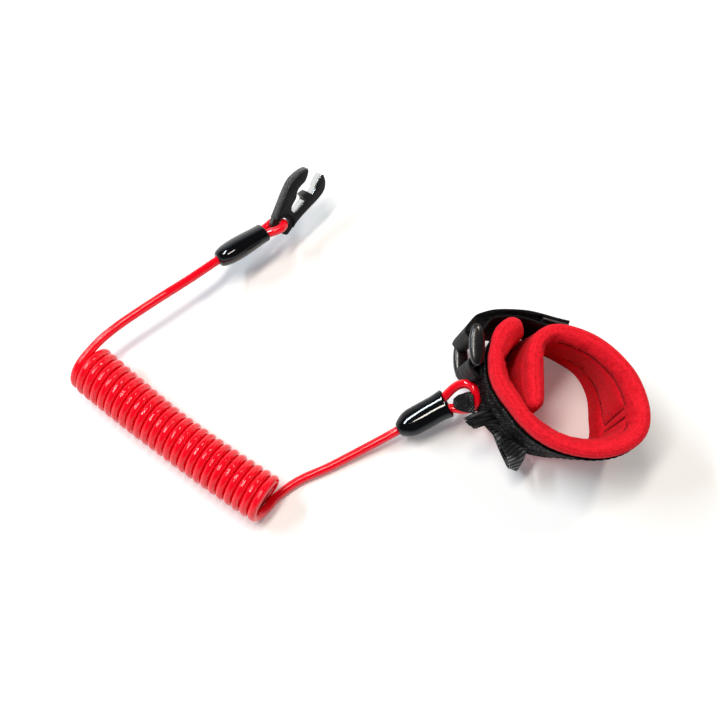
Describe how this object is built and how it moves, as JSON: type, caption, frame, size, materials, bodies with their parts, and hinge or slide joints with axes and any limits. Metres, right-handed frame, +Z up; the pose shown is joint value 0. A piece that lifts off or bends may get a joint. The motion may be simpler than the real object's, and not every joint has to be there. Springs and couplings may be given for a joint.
{
  "type": "engine kill switch lanyard",
  "caption": "Forked kill switch clip on a coiled safety cord that ends in a padded wrist cuff with a webbing strap and a ring buckle, lying loose on the floor.",
  "frame": {"origin": "on the floor under the middle of the solid pieces", "axes": "+Z up from the floor the lanyard lies on, +X from the coil towards the cuff, +Y away from the viewer"},
  "size_m": [0.2368, 0.1556, 0.046],
  "materials": {
    "cord_red": "glossy extruded red polyurethane",
    "knit_red": "matt red knit over foam",
    "pvc_black": "glossy dipped black vinyl",
    "plastic_black": "satin moulded black plastic",
    "webbing_black": "woven black webbing",
    "thread_black": "black sewing thread",
    "hook_black": "black hook tape",
    "ferrule_grey": "plain crimped aluminium"
  },
  "bodies": {
    "lanyard": {"key_sleeve": "pvc_black", "key_ferrule": "ferrule_grey", "cord_key_run": "cord_red", "cord_coil": "cord_red", "cord_cuff_run": "cord_red", "cuff_sleeve": "pvc_black", "cuff_ferrule": "ferrule_grey", "cuff_pad": "knit_red", "base_webbing": "webbing_black", "cinch_strap": "webbing_black", "hook_patch": "hook_black", "ring_anchor": "webbing_black", "tether_loop": "webbing_black", "webbing_tail": "webbing_black", "pull_tab": "webbing_black", "anchor_bartack": "thread_black", "tether_bartack": "thread_black", "tab_bartack": "thread_black"},
    "key": {"key_clip": "plastic_black"},
    "ring": {"ring_buckle": "plastic_black"}
  },
  "joints": [
    {"name": "key_swing", "type": "hinge", "parent": "lanyard", "child": "key", "pos_m": [-0.05975, 0.0465, 0.017], "axis": [0.4537, -0.5706, 0.6845], "range_deg": [-55, 15]},
    {"name": "ring_pivot", "type": "hinge", "parent": "lanyard", "child": "ring", "pos_m": [0.0208, -0.0247, 0.0225], "axis": [0.0959, -0.183, 0.9784], "range_deg": [-3, 3]}
  ]
}
